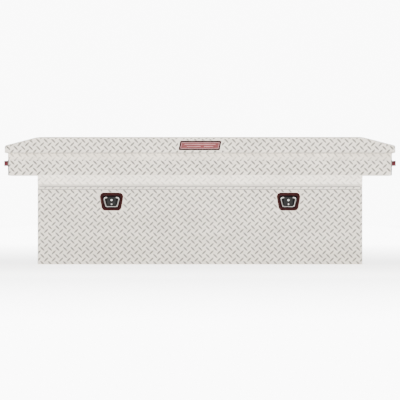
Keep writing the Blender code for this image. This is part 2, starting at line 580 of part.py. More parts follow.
# ---- gas struts ------------------------------------------------------------------------------
def build_struts():
    base, tip = Vector(STRUT_BASE), Vector(STRUT_TIP)
    along = tip - base
    length = along.length
    angle = math.atan2(along.y, along.x)
    width = ROD_R

    def turned(bm):
        """Stand a shape made along +Y from the origin on the strut's line."""
        bmesh.ops.rotate(bm, verts=bm.verts, cent=(0, 0, 0),
                         matrix=Matrix.Rotation(angle, 3, "X"))
        bmesh.ops.translate(bm, verts=bm.verts, vec=(0, base.x, base.y))
        return bm

    for side, sign in SIDES:
        x = sign * STRUT_X
        origin = (x, base.x, base.y)
        tube = add("strut_tube_" + side, turned(revolve(
            [(TUBE_START, TUBE_R), (TUBE_END - 0.002, TUBE_R), (TUBE_END, TUBE_R - 0.002),
             (TUBE_END, TUBE_BORE_R), (TUBE_FLOOR, TUBE_BORE_R)], "Y", (x, 0.0), 20)),
            BLACK_STEEL, origin=origin, smooth=True)
        boolean(tube, add("tube_eye_" + side, turned(revolve(
            [(x - width, EYE_R), (x + width, EYE_R)], "X", (0.0, 0.0), 16)), None), "UNION")
        neck = box((x - width, x + width), (0.0, TUBE_START + 0.003), (-0.005, 0.005))
        boolean(tube, add("tube_neck_" + side, turned(neck), None), "UNION")
        boolean(tube, drill("tube_eye_bore_" + side, "X", tuple(base), EYE_BORE_R,
                            x - 0.01, x + 0.01))
        shaft = add("strut_rod_" + side, turned(revolve(
            [(ROD_START, ROD_R), (length - 0.004, ROD_R)], "Y", (x, 0.0), 16)),
            CHROME, origin=(x, tip.x, tip.y), smooth=True)
        boolean(shaft, add("rod_eye_" + side, turned(revolve(
            [(x - width, EYE_R), (x + width, EYE_R)], "X", (length, 0.0), 16)), None), "UNION")

        floor = TRAY_BOTTOM + SHEET + GAP
        near = x + sign * 0.0100
        far, foot = near + sign * BRACKET_THICK, near + sign * BRACKET_FOOT
        top = base.y + 0.010
        plate = [(near, floor), (foot, floor), (foot, floor + BRACKET_THICK),
                 (far, floor + BRACKET_THICK), (far, top), (near, top)]
        bracket = add("strut_base_bracket_" + side,
                      prism(plate, "Y", base.x - 0.016, base.x + 0.016), ZINC)
        stud = revolve([(x - sign * 0.005, STUD_R), (near + sign * 0.001, STUD_R)], "X",
                       tuple(base), 12)
        boolean(bracket, add("base_stud_" + side, stud, None), "UNION")
        near = x + sign * (width + 0.0005)
        far, foot = near + sign * HANGER_THICK, near + sign * HANGER_FOOT
        top, bottom = LINER_LOW - GAP, tip.y - 0.010
        hanger = [(near, bottom), (far, bottom), (far, top - HANGER_THICK),
                  (foot, top - HANGER_THICK), (foot, top), (near, top)]
        add("strut_lid_bracket_" + side, prism(hanger, "Y", tip.x - 0.014, tip.x + 0.014), ZINC)


# ---- recessed tie-down rings on the hopper front ---------------------------------------------------
def build_tie_downs():
    face = HOPPER_FRONT - GAP
    back = HOPPER_FRONT + PAN_DEPTH
    inner_back = back - PAN_SHEET
    rim_front = face - PAN_PROUD
    ease = PAN_PROUD / 2
    for side, sign in SIDES:
        centre = (sign * TIE_X, TIE_Z)
        flange = [[(x, y, z) for x, z in trapezoid(inset, centre)]
                  for inset, y in ((0.0, face), (0.0, rim_front + ease), (ease, rim_front))]
        pan = add("tie_down_pan_" + side, loft(bmesh.new(), flange), PAN_MAROON, smooth=True)
        cup = prism(trapezoid(PAN_INSET - PAN_SHEET, centre, 1), "Y", face - GAP, back)
        boolean(pan, add("pan_cup_" + side, cup, None), "UNION")
        recess = prism(trapezoid(PAN_INSET, centre, 1), "Y", rim_front - 0.01, inner_back)
        boolean(pan, add("pan_recess_" + side, recess, None))
        clip_back = inner_back - GAP
        clip = add("tie_down_clip_" + side, clip_body(centre[0], clip_back), CLIP_GREY)
        for end in (-1, 1):
            boolean(clip, drill(f"clip_bore_{side}_{'ab'[end > 0]}", "X",
                                (RING_AXIS_Y, RING_AXIS_Z), RING_R + 0.0005,
                                centre[0] + end * 0.012, centre[0] + end * 0.030, 12))
        seat = clip_back - CLIP_FOOT
        for label, above, head in TIE_BOLTS:
            z = TIE_Z + above
            through = drill(f"tie_bolt_hole_{label}_{side}", "Y", (centre[0], z),
                            TIE_BOLT_HOLE_R, HOPPER_FRONT - 0.02, back + 0.01, 12)
            boolean(pan, through)
            boolean(clip, through)
            bolt = [(seat - 0.0030, head * 0.55), (seat - 0.0022, head * 0.85),
                    (seat - GAP, head), (seat - GAP, TIE_BOLT_R), (back + GAP, TIE_BOLT_R),
                    (back + GAP, 2 * TIE_BOLT_R), (back + 0.003, 2 * TIE_BOLT_R)]
            add(f"tie_down_bolt_{label}_{side}", revolve(bolt, "Y", (centre[0], z), 16),
                CHROME, smooth=True)
        low = RING_AXIS_Z - RING_DROP
        corners = [(-RING_END_HALF, RING_AXIS_Z), (-RING_TOP_HALF, RING_AXIS_Z),
                   (-RING_BOTTOM_HALF, low), (RING_BOTTOM_HALF, low),
                   (RING_TOP_HALF, RING_AXIS_Z), (RING_END_HALF, RING_AXIS_Z)]
        path = fillet(corners, RING_CORNER, 4)
        rod("tie_down_ring_" + side,
            [(centre[0] + x, RING_AXIS_Y, z) for x, z in path], RING_R, CHROME,
            origin=(centre[0], RING_AXIS_Y, RING_AXIS_Z))


def clip_body(x, back):
    """A saddle: a round-fronted barrel block on a flat foot that reaches down the pan."""
    front = RING_AXIS_Y - RING_R - 0.0025
    foot = back - CLIP_FOOT
    low, high = RING_AXIS_Z - RING_R - 0.0015, RING_AXIS_Z + RING_R + 0.0015
    section = [(back, high - 0.003), (back - 0.004, high), (front + 0.002, high),
               (front, high - 0.002), (front, low + 0.002),
               (front + 0.002, low), (foot, low), (foot, TIE_Z - CLIP_LOW),
               (back, TIE_Z - CLIP_LOW)]
    return prism(section, "X", x - CLIP_HALF, x + CLIP_HALF)


clear_scene()
build_hopper()
build_tray()
build_seal()
build_lid()
build_badge()
build_hinge()
build_locks()
build_struts()
build_tie_downs()
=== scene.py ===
"""The truck tool box as it is seen: tread plate with raised bars, locks, badge and rings."""
import json
import math

import bmesh
import bpy
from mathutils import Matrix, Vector
from mathutils.geometry import delaunay_2d_cdt

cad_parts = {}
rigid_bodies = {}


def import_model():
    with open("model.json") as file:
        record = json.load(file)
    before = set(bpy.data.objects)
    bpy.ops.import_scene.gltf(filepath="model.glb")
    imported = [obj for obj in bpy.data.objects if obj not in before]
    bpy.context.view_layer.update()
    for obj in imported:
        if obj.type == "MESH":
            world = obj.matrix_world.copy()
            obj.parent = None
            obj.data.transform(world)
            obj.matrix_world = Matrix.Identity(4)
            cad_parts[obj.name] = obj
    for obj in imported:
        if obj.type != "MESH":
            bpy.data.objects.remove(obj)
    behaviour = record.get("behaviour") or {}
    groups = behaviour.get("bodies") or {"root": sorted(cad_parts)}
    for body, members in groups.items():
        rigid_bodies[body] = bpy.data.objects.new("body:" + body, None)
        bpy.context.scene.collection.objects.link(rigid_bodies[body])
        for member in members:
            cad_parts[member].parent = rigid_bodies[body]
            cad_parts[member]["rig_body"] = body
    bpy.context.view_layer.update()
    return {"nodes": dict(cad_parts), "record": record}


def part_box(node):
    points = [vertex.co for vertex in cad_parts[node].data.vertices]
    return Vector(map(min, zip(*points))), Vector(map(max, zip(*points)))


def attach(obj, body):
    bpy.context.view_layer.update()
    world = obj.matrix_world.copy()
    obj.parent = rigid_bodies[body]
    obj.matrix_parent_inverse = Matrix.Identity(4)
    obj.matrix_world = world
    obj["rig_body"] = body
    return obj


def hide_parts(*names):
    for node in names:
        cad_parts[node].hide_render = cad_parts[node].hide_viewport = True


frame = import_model()
nodes = frame["nodes"]

# ---- the sheet work: places from the CAD frame, and the folds between them, in metres --------
SHEET = 0.002
BEND = 0.0030                  # radius of the tray's bends, on the outer face
LID_LOW, LID_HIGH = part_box("lid_shell")
FRONT_LOW, FRONT_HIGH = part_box("tray_front")
REAR_LOW, REAR_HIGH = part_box("tray_rear")
END_LOW, END_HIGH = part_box("tray_end_right")
HOPPER_LOW, HOPPER_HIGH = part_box("hopper_front_panel")
HOPPER_HALF = HOPPER_HIGH.x
REAR_PANEL_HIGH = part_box("hopper_rear_panel")[1]
LID_FLAT_HALF = 0.754          # the flat top's half length; beyond it the lid slopes down
LID_END_TOP = 0.552            # and reaches this height at its two ends
LID_CORNER = 0.007             # radius of the lid's four upright corners
LID_FOLD = 0.0025              # size of the bevels along its folds
LID_INNER_FOLD = 0.26          # inside, the fold to the slope lies this share of SHEET further in
LARGE_FACE = 0.01              # a face of the lid above this area is flat sheet, not a bend
LID_EDGE = LID_LOW.z
TRAY_SHOULDER = 0.489          # the tray's upright front ends here and leans in to its neck
TRAY_NECK = FRONT_LOW.y + 0.006
WING_UNDER = END_LOW.z
FLANGE_TOP = 0.371             # the tray's lower band leans in to the flange down to here
FLANGE_FACE = FRONT_LOW.y + 0.0217
LIP_LOW, LIP_HIGH = 0.3647, 0.3712      # the lip along the top of the flange
LIP_SEAM_SHADOW_LOW = 0.3608          # and the dark sealant line under it, partly painted shadow of the lip
FLANGE_SEAM_SHADOW_LOW = 0.3476       # the dark sealed joint below the flange, partly painted shadow, reaches down to here
SIDES = {"right": 1, "left": -1}

# ---- lock, tie-down pan and badge ------------------------------------------------------------
LOCK_HOLE, LOCK_CLEAR = 0.0165, 0.0250    # radii: the lock's hole, and the ring without bars
BUTTON_BACK = 0.8800                      # distance from the middle to a button's head
BUTTON_BORE = 0.0063                      # radius of the bore for the key plug
# The pan's flange: half widths at its top and bottom, half height, and corner radius.
PAN_TOP_HALF, PAN_BOTTOM_HALF, PAN_HALF_HEIGHT, PAN_CORNER = 0.0580, 0.0440, 0.0420, 0.018
PAN_HOLE_INSET = 0.0130                   # from its edge in to the edge of the hopper's hole
BADGE_SLOPE = 0.004 / 0.0208              # lean of the badge's ends, X for each unit of Z
BADGE_RIM = 0.0064                        # width of its dark frame
BADGE_GROUND_INSET = 0.0021               # from the inlay's edge to the pale ground's edge
BADGE_FIELD_INSET = 0.0038                # and to the red field's
# The stripes: where each starts and ends along the badge, and its height, as shares.
BADGE_STRIPES = ((0.16, 0.52, 0.36), (0.60, 0.84, 0.36), (0.10, 0.90, 0.66))
BADGE_STRIPE_HALF = 0.0011
BADGE_CLEAR = 0.0022                      # bars stop this far from the frame

# ---- the raised pattern ----------------------------------------------------------------------
CELL_U, CELL_V = 0.0175, 0.01667   # half the pattern's repeat along and across the sheet
BAR_LENGTH, BAR_WIDTH, BAR_RISE = 0.0295, 0.0088, 0.0014
BAR_OUTLINE = ((-0.5, 0.0), (-0.32, -0.34), (0.0, -0.5), (0.32, -0.34),
               (0.5, 0.0), (0.32, 0.34), (0.0, 0.5), (-0.32, 0.34))
BAR_RINGS = ((0.93, 0.74, 0.72), (0.78, 0.34, 1.0))   # crown: shares of length, width and rise
EDGE_MARGIN = 0.0007               # bars are cut this far inside an edge
SMALLEST_CUT = 0.2                 # a bar cut below this share of a whole one is left out
SLANT_PAINTED_LIGHT = 0.13                  # painted light: bars on the up-facing slanted bands keep this share of their painted shade
EDGE_PAINTED_SHADE = 0.055                  # painted shade: the lid's upright corners and the flange are a little darker


# ---- 2-D helpers -----------------------------------------------------------------------------
def clip(points, start, end, margin):
    """The part of a convex outline at least `margin` to the left of the line start-end."""
    along = (Vector(end) - Vector(start)).normalized()
    left = Vector((-along.y, along.x))
    height = [left.dot(Vector(p) - Vector(start)) - margin for p in points]
    out = []
    for i, here in enumerate(points):
        j = (i + 1) % len(points)
        if height[i] >= 0:
            out.append(here)
        if (height[i] >= 0) != (height[j] >= 0):
            t = height[i] / (height[i] - height[j])
            out.append(tuple(Vector(here).lerp(Vector(points[j]), t)))
    return out


def area(points):
    """Area of an outline, positive when it runs anticlockwise."""
    return sum(a[0] * b[1] - b[0] * a[1]
               for a, b in zip(points, points[1:] + points[:1])) / 2


def inside(point, loops):
    """Whether the point lies in an odd number of the loops."""
    x, y = point
    odd = False
    for loop in loops:
        for (x0, y0), (x1, y1) in zip(loop, loop[1:] + loop[:1]):
            if (y0 > y) != (y1 > y) and x < x0 + (y - y0) * (x1 - x0) / (y1 - y0):
                odd = not odd
    return odd


def segment_distance(point, start, end):
    p, a, b = Vector(point), Vector(start), Vector(end)
    t = max(0.0, min(1.0, (p - a).dot(b - a) / max(1e-12, (b - a).length_squared)))
    return (p - a.lerp(b, t)).length


def bars_in(loops, clear, phase=(0.0, 0.0)):
    """Bars of the pattern inside the loops (outer anticlockwise, holes clockwise).

    The clockwise loops in `clear` are regions that another part covers. Rows of bars leaning
    right alternate with rows leaning left, and a bar that crosses an edge is cut there.
    Gives (centre, lean, outline) for each bar.
    """
    low_u, high_u = min(p[0] for p in loops[0]), max(p[0] for p in loops[0])
    low_v, high_v = min(p[1] for p in loops[0]), max(p[1] for p in loops[0])
    edges = [(a, b) for loop in loops + clear for a, b in zip(loop, loop[1:] + loop[:1])]
    whole = area([(t * BAR_LENGTH, w * BAR_WIDTH) for t, w in BAR_OUTLINE])
    found = []
    for j in range(math.floor((low_v - phase[1]) / CELL_V) - 1,
                   math.ceil((high_v - phase[1]) / CELL_V) + 2):
        for i in range(math.floor((low_u - phase[0]) / CELL_U) - 1,
                       math.ceil((high_u - phase[0]) / CELL_U) + 2):
            if (i + j) % 2:
                continue
            centre = (phase[0] + i * CELL_U, phase[1] + j * CELL_V)
            lean = math.pi / 4 if j % 2 == 0 else -math.pi / 4
            c, s = math.cos(lean), math.sin(lean)
            points = [(centre[0] + c * t * BAR_LENGTH - s * w * BAR_WIDTH,
                       centre[1] + s * t * BAR_LENGTH + c * w * BAR_WIDTH)
                      for t, w in BAR_OUTLINE]
            for a, b in edges:
                if points and segment_distance(centre, a, b) < BAR_LENGTH / 2 + EDGE_MARGIN:
                    points = clip(points, a, b, EDGE_MARGIN)
            if len(points) < 3 or area(points) < SMALLEST_CUT * whole:
                continue
            middle = (sum(p[0] for p in points) / len(points),
                      sum(p[1] for p in points) / len(points))
            if inside(middle, loops) and not any(inside(middle, [c]) for c in clear):
                found.append((middle, lean, points))
    return found


# ---- mesh helpers ----------------------------------------------------------------------------
class Flat:
    """A plane in space with its own (u, v) coordinates; u x v points out of the sheet."""

    def __init__(self, origin, u, v):
        self.origin = Vector(origin)
        self.u = Vector(u).normalized()
        self.n = self.u.cross(Vector(v)).normalized()
        self.v = self.n.cross(self.u)

    def to_uv(self, point):
        d = Vector(point) - self.origin
        return (d.dot(self.u), d.dot(self.v))

    def at(self, uv, rise=0.0):
        return self.origin + self.u * uv[0] + self.v * uv[1] + self.n * rise


def painted_shade_layer(bm):
    """A value at each vertex for the tread metal's painted shade: 0 on the sheet, 1 on top of a
    bar.
    """
    return bm.verts.layers.float.get("rise") or bm.verts.layers.float.new("rise")


def dress(bm, loops, flat, phase=(0.0, 0.0), keep_clear=(), pattern=True, shade_strength=1.0):
    """Fill a flat region bounded by loops of vertices, with raised bars carrying painted shade."""
    outlines = [[flat.to_uv(v.co) for v in loop] for loop in loops]
    if area(outlines[0]) < 0:
        loops[0].reverse()
        outlines[0].reverse()
    for k in range(1, len(loops)):
        if area(outlines[k]) > 0:
            loops[k].reverse()
            outlines[k].reverse()
    verts = [v for loop in loops for v in loop]
    coords = [uv for outline in outlines for uv in outline]
    faces, start = [], 0
    for outline in outlines:
        ring = list(range(start, start + len(outline)))
        faces.append(ring if not faces else ring[::-1])
        start += len(outline)
    layer = painted_shade_layer(bm)
    clear = [list(reversed(c)) if area(c) > 0 else list(c) for c in keep_clear]
    for middle, lean, points in (bars_in(outlines, clear, phase) if pattern else ()):
        c, s = math.cos(lean), math.sin(lean)
        rings = [[bm.verts.new(flat.at(p)) for p in points]]
        for along, across, rise in BAR_RINGS:
            ring = []
            for p in points:
                d = (p[0] - middle[0], p[1] - middle[1])
                t, w = (c * d[0] + s * d[1]) * along, (-s * d[0] + c * d[1]) * across
                uv = (middle[0] + c * t - s * w, middle[1] + s * t + c * w)
                vert = bm.verts.new(flat.at(uv, rise * BAR_RISE))
                # painted shade on the bar, scaled by shade_strength
                vert[layer] = rise * shade_strength
                ring.append(vert)
            rings.append(ring)
        for low, high in zip(rings, rings[1:]):
            for k in range(len(low)):
                m = (k + 1) % len(low)
                bm.faces.new((low[k], low[m], high[m], high[k])).smooth = True
        bm.faces.new(rings[-1]).smooth = True
        faces.append(list(range(len(verts), len(verts) + len(points))))
        verts.extend(rings[0])
        coords.extend(points)
    _, _, triangles, origin, _, source = delaunay_2d_cdt(
        [Vector(c) for c in coords], [], faces, 1, 1e-7, True)
    for triangle, parents in zip(triangles, source):
        if list(parents) == [0]:
            bm.faces.new([verts[origin[k][0]] for k in triangle])


def new_object(name, bm, material):
    """Make an object of the finished mesh and put it in the scene."""
    mesh = bpy.data.meshes.new(name)
    bm.to_mesh(mesh)
    bm.free()
    mesh.materials.append(material)
    obj = bpy.data.objects.new(name, mesh)
    bpy.context.collection.objects.link(obj)
    return obj


def new_piece(name, bm, like, material):
    """Hand a finished mesh over: it stands for CAD node `like` and rides on its body."""
    obj = new_object(name, bm, material)
    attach(obj, nodes[like]["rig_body"])
    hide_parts(like)


def extra(name, bm, body_of, material):
    """Hand over a small piece beside the CAD parts; it rides with CAD node `body_of`."""
    obj = new_object(name, bm, material)
    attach(obj, nodes[body_of]["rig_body"])


def fillet(points, radius, steps=4, closed=True):
    """Round the corners of an outline with arcs; an open line keeps its two ends."""
    count = len(points)
    out = []
    for i, point in enumerate(points):
        if not closed and i in (0, count - 1):
            out.append(tuple(point))
            continue
        here = Vector(point)
        to_prev = (Vector(points[i - 1]) - here).normalized()
        to_next = (Vector(points[(i + 1) % count]) - here).normalized()
        half = to_prev.angle(to_next) / 2
        centre = here + (to_prev + to_next).normalized() * (radius / math.sin(half))
        start = here + to_prev * (radius / math.tan(half)) - centre
        end = here + to_next * (radius / math.tan(half)) - centre
        turn = math.atan2(start.x * end.y - start.y * end.x, start.dot(end))
        for k in range(steps + 1):
            c, s = math.cos(turn * k / steps), math.sin(turn * k / steps)
            out.append((centre.x + c * start.x - s * start.y,
                        centre.y + s * start.x + c * start.y))
    return out


def panel(name, like, flat, outline, holes=(), phase=(0.0, 0.0), keep_clear=()):
    """A flat sheet of tread plate: patterned outside, plain inside, square cut edges.

    `phase` shifts the pattern over the sheet.
    """
    bm = bmesh.new()
    painted_shade_layer(bm)
    front = [[bm.verts.new(flat.at(p)) for p in loop] for loop in (outline, *holes)]
    back = [[bm.verts.new(flat.at(p, -SHEET)) for p in loop] for loop in (outline, *holes)]
    for loop, under in zip(front, back):
        for k in range(len(loop)):
            m = (k + 1) % len(loop)
            bm.faces.new((loop[k], loop[m], under[m], under[k]))
    dress(bm, [list(loop) for loop in front], flat, phase, keep_clear)
    behind = Flat(flat.at((0, 0), -SHEET), -flat.u, flat.v)
    dress(bm, [list(loop) for loop in back], behind, pattern=False)
    bmesh.ops.recalc_face_normals(bm, faces=bm.faces)
    new_piece(name, bm, like, TREAD)


def rounded(profile):
    """Points of the profile with its bends rounded, and what each stretch between two is."""
    outer, kind = [profile[0]], []
    for k in range(1, len(profile) - 1):
        arc = fillet(profile[k - 1:k + 2], BEND, 4, closed=False)[1:-1]
        kind += [("flat", k - 1)] + [("bend", k)] * (len(arc) - 1)
        outer += arc
    kind.append(("flat", len(profile) - 2))
    outer.append(profile[-1])
    return outer, kind


def offset(outer, distance):
    """The open line `outer` moved sideways to its left by `distance`, corners mitred."""
    inner = []
    for k, point in enumerate(outer):
        here = Vector(point)
        before = (here - Vector(outer[k - 1])).normalized() if k else None
        after = (Vector(outer[k + 1]) - here).normalized() if k < len(outer) - 1 else before
        before = before or after
        side = (Vector((-before.y, before.x)) + Vector((-after.y, after.x))).normalized()
        inner.append(here + side * distance / side.dot(Vector((-before.y, before.x))))
    return inner


def folded(name, like, profile, stations, present, phase=(0.0, 0.0), cleared=None,
           plain=(), slanted_lit_bands=(), shaded_edges=()):
    """A bent sheet of tread plate drawn out along X through the stations.

    `profile` is the (Y, Z) line of its outer face. present(i, k) says whether the sheet is
    there between station i and the next, along the profile's segment k. `cleared` is a segment
    and an (X, Z) region on it that stays without bars; `plain`, `slanted_lit_bands` and
    `shaded_edges` are segments without bars, with bars given less painted shade (painted light
    on the bands that face up) and with painted shade darkening their edges.
    """
    outer, kind = rounded(profile)
    inner = offset(outer, SHEET)
    bm = bmesh.new()
    painted_shade_layer(bm)
    grid = {}

    def vert(side, i, j):
        if (side, i, j) not in grid:
            grid[side, i, j] = bm.verts.new((stations[i], *(outer, inner)[side][j]))
        return grid[side, i, j]

    cells = {(i, j) for i in range(len(stations) - 1) for j in range(len(outer) - 1)
             if present(i, kind[j][1] if kind[j][0] == "flat" else kind[j][1] - 0.5)}
    for i, j in cells:
        corners = ((i, j), (i + 1, j), (i + 1, j + 1), (i, j + 1))
        bend = kind[j][0] == "bend"
        bm.faces.new([vert(1, *c) for c in corners]).smooth = bend
        if bend:
            bm.faces.new([vert(0, *c) for c in corners]).smooth = True
        for step, ends in (((-1, 0), (0, 3)), ((1, 0), (1, 2)), ((0, -1), (0, 1)),
                           ((0, 1), (3, 2))):
            if (i + step[0], j + step[1]) not in cells:
                a, b = corners[ends[0]], corners[ends[1]]
                bm.faces.new((vert(0, *a), vert(0, *b), vert(1, *b), vert(1, *a)))
    along = 0.0
    for j, (sort, segment) in enumerate(kind):
        length = (Vector(outer[j + 1]) - Vector(outer[j])).length
        columns = [i for i in range(len(stations) - 1) if (i, j) in cells]
        if sort == "flat":
            line = range(columns[0], columns[-1] + 2)
            loop = [vert(0, i, j) for i in line] + [vert(0, i, j + 1) for i in reversed(line)]
            down = Vector((0, *(Vector(outer[j + 1]) - Vector(outer[j]))))
            u = Vector((1, 0, 0))
            flat = Flat((0, *outer[j]), u, -down)
            if flat.n.y * (-1 if profile[0][0] < 0 else 1) < 0:
                flat = Flat((0, *outer[j]), -u, -down)
            keep = []
            if cleared and cleared[0] == segment:
                keep = [[flat.to_uv((x, outer[j][0], z)) for x, z in cleared[1]]]
            # painted shade darkening this sheet towards its edges
            if segment in shaded_edges:
                for corner in loop:
                    corner[painted_shade_layer(bm)] = EDGE_PAINTED_SHADE
            # bars on the slanted lit bands get less painted shade: a painted highlight on bands
            # that face up
            dress(bm, [loop], flat, (phase[0], along + phase[1]), keep, segment not in plain,
                  SLANT_PAINTED_LIGHT if segment in slanted_lit_bands else 1.0)
        along += length
    bmesh.ops.recalc_face_normals(bm, faces=bm.faces)
    new_piece(name, bm, like, TREAD)


# ---- materials -------------------------------------------------------------------------------
class Nodes:
    """A short way to wire a node material."""

    def __init__(self, name):
        self.mat = bpy.data.materials.new(name)
        self.mat.use_nodes = True
        self.tree = self.mat.node_tree
        self.shader = self.tree.nodes["Principled BSDF"]
        self.coords = self.add("ShaderNodeTexCoord").outputs["Object"]

    def add(self, kind, **settings):
        node = self.tree.nodes.new(kind)
        for key, value in settings.items():
            setattr(node, key, value)
        return node

    def link(self, source, target):
        self.tree.links.new(source, target)

    def noise(self, scale, detail=4.0, stretch=(1, 1, 1), rough=0.55):
        mapping = self.add("ShaderNodeMapping")
        mapping.inputs["Scale"].default_value = stretch
        self.link(self.coords, mapping.inputs["Vector"])
        node = self.add("ShaderNodeTexNoise")
        node.inputs["Scale"].default_value = scale
        node.inputs["Detail"].default_value = detail
        node.inputs["Roughness"].default_value = rough
        self.link(mapping.outputs["Vector"], node.inputs["Vector"])
        return node.outputs["Fac"]

    def ramp(self, source, stops):
        node = self.add("ShaderNodeValToRGB")
        ramp = node.color_ramp
        while len(ramp.elements) < len(stops):
            ramp.elements.new(0.5)
        for element, (at, colour) in zip(ramp.elements, stops):
            element.position = at
            element.color = (*colour, 1.0)
        self.link(source, node.inputs["Fac"])
        return node.outputs["Color"]

    def spread(self, source, low, high, out_low, out_high):
        node = self.add("ShaderNodeMapRange")
        for key, value in (("From Min", low), ("From Max", high), ("To Min", out_low),
                           ("To Max", out_high)):
            node.inputs[key].default_value = value
        self.link(source, node.inputs["Value"])
        return node.outputs["Result"]

    def maths(self, operation, *sources):
        node = self.add("ShaderNodeMath", operation=operation)
        for source, socket in zip(sources, node.inputs):
            self.link(source, socket)
        return node.outputs[0]

    def mix(self, factor, a, b, blend="MIX"):
        node = self.add("ShaderNodeMix", data_type="RGBA", blend_type=blend)
        for socket, value in (("Factor_Float", factor), ("A_Color", a), ("B_Color", b)):
            target = next(s for s in node.inputs if s.identifier == socket)
            if isinstance(value, float):
                target.default_value = value
            else:
                self.link(value, target)
        return next(s for s in node.outputs if s.identifier == "Result_Color")

    def bump(self, height, strength, distance):
        node = self.add("ShaderNodeBump")
        node.inputs["Strength"].default_value = strength
        node.inputs["Distance"].default_value = distance
        self.link(height, node.inputs["Height"])
        self.link(node.outputs["Normal"], self.shader.inputs["Normal"])

    def finish(self, colour, roughness, metallic, coat=0.0):
        self.link(colour, self.shader.inputs["Base Color"])
        self.link(roughness, self.shader.inputs["Roughness"])
        self.shader.inputs["Metallic"].default_value = metallic
        self.shader.inputs["Coat Weight"].default_value = coat
        return self.mat


def shade(colour, factor):
    return tuple(min(1.0, c * factor) for c in colour)


def tread_metal():
    """Bright rolled aluminium: faint rolling grain, smudges, bars darkened by painted shade."""
    n = Nodes("tread_aluminium")
    cloud = n.noise(3.0, 5.0)
    grain = n.noise(60.0, 3.0, (0.06, 1.0, 1.0))
    base = n.ramp(cloud, [(0.30, (0.70, 0.643, 0.552)), (0.72, (0.77, 0.713, 0.622))])
    base = n.mix(0.33, base, n.ramp(grain, [(0.35, (0.68, 0.628, 0.545)),
                                             (0.65, (0.90, 0.840, 0.745))]))
    smudge = n.ramp(n.noise(11.0, 6.0, rough=0.7), [(0.36, (0.89, 0.89, 0.90)),
                                                    (0.60, (1.0, 1.0, 1.0))])
    base = n.mix(1.0, base, smudge, "MULTIPLY")
    rise = n.add("ShaderNodeAttribute", attribute_name="rise").outputs["Fac"]
    # painted shade: dark on the bars' slopes, a little lighter on their crowns, none on the sheet
    bars = n.ramp(rise, [(0.0, (1.0, 1.0, 1.0)), (0.30, (0.150, 0.155, 0.157)),
                         (1.0, (0.28, 0.287, 0.290))])
    colour = n.mix(1.0, base, bars, "MULTIPLY")
    roughness = n.spread(n.noise(24.0, 5.0), 0.3, 0.7, 0.30, 0.42)
    n.bump(n.noise(420.0, 2.0, (0.10, 1.0, 1.0)), 0.10, 0.0003)
    return n.finish(colour, roughness, 1.0)


def brushed(name, colour, rough=(0.25, 0.40), stretch=(0.05, 1.0, 1.0)):
    """Bare metal with a fine grain, drawn out along X unless `stretch` is even."""
    n = Nodes(name)
    grain = n.noise(260.0, 3.0, stretch)
    base = n.ramp(grain, [(0.30, shade(colour, 0.86)), (0.70, shade(colour, 1.08))])
    base = n.mix(0.5, base, n.ramp(n.noise(18.0), [(0.35, shade(colour, 0.9)),
                                                   (0.65, shade(colour, 1.05))]))
    n.bump(grain, 0.08, 0.0002)
    return n.finish(base, n.spread(n.noise(40.0), 0.3, 0.7, *rough), 1.0)


def paint(name, colour, rough=(0.28, 0.42), coat=0.0, metallic=0.0, texture=900.0, gloss=0.5):
    """Paint, enamel or plastic, slightly uneven in colour and surface."""
    n = Nodes(name)
    n.shader.inputs["Specular IOR Level"].default_value = gloss
    base = n.ramp(n.noise(30.0, 4.0), [(0.30, shade(colour, 0.82)), (0.70, shade(colour, 1.15))])
    n.bump(n.noise(texture, 2.0), 0.12, 0.0002)
    return n.finish(base, n.spread(n.noise(70.0), 0.3, 0.7, *rough), metallic, coat)


def rubber(name):
    n = Nodes(name)
    base = n.ramp(n.noise(60.0, 5.0), [(0.3, (0.012, 0.012, 0.013)),
                                       (0.7, (0.035, 0.035, 0.034))])
    n.bump(n.noise(1500.0, 3.0), 0.25, 0.0003)
    return n.finish(base, n.spread(n.noise(90.0), 0.3, 0.7, 0.70, 0.92), 0.0)


def pan_finish():
    """Dark maroon flange, with painted shade that turns it black down in the recess."""
    n = Nodes("pan_dark")
    place = n.add("ShaderNodeSeparateXYZ")
    n.link(n.coords, place.inputs["Vector"])
    # painted shade: the surface turns black deeper in the recess
    recess_shade = n.spread(place.outputs["Y"], HOPPER_LOW.y + 0.004, HOPPER_LOW.y + 0.011, 0.0, 1.0)
    maroon = n.ramp(n.noise(60.0, 4.0), [(0.3, (0.013, 0.0016, 0.0018)),
                                         (0.7, (0.020, 0.0028, 0.0030))])
    black = n.ramp(n.noise(90.0, 4.0), [(0.3, (0.003, 0.003, 0.003)),
                                        (0.7, (0.006, 0.006, 0.006))])
    n.bump(n.noise(1200.0, 2.0), 0.15, 0.0002)
    n.shader.inputs["Specular IOR Level"].default_value = 0.07
    return n.finish(n.mix(recess_shade, maroon, black), n.spread(n.noise(50.0), 0.3, 0.7, 0.38, 0.52), 0.0)


EVEN = (1.0, 1.0, 1.0)
TREAD = tread_metal()
FINISHES = {
    "tread_plate": TREAD,
    "mill_sheet": brushed("mill_aluminium", (0.78, 0.78, 0.77), (0.34, 0.5)),
    "zinc_steel": brushed("zinc_plate", (0.66, 0.66, 0.62), (0.32, 0.48)),
    "stainless": brushed("satin_stainless", (0.60, 0.60, 0.585)),
    "black_steel": paint("black_enamel", (0.025, 0.025, 0.027), coat=0.2),
    "seal_rubber": rubber("seal_rubber_black"),
    "lock_red": paint("lock_red_anodised", (0.10, 0.026, 0.032), (0.45, 0.60), gloss=0.0),
    "pan_maroon": pan_finish(),
    "clip_grey": paint("clip_cast_grey", (0.010, 0.010, 0.010), (0.45, 0.6), texture=600.0,
                       gloss=0.15),
    "chrome": brushed("polished_chrome", (0.90, 0.90, 0.90), (0.06, 0.14), EVEN),
    "badge_dark": paint("badge_frame_dark", (0.022, 0.007, 0.009), (0.35, 0.45), gloss=0.05),
    "badge_red": paint("badge_red_enamel", (0.150, 0.042, 0.045), (0.35, 0.45), gloss=0.1),
}
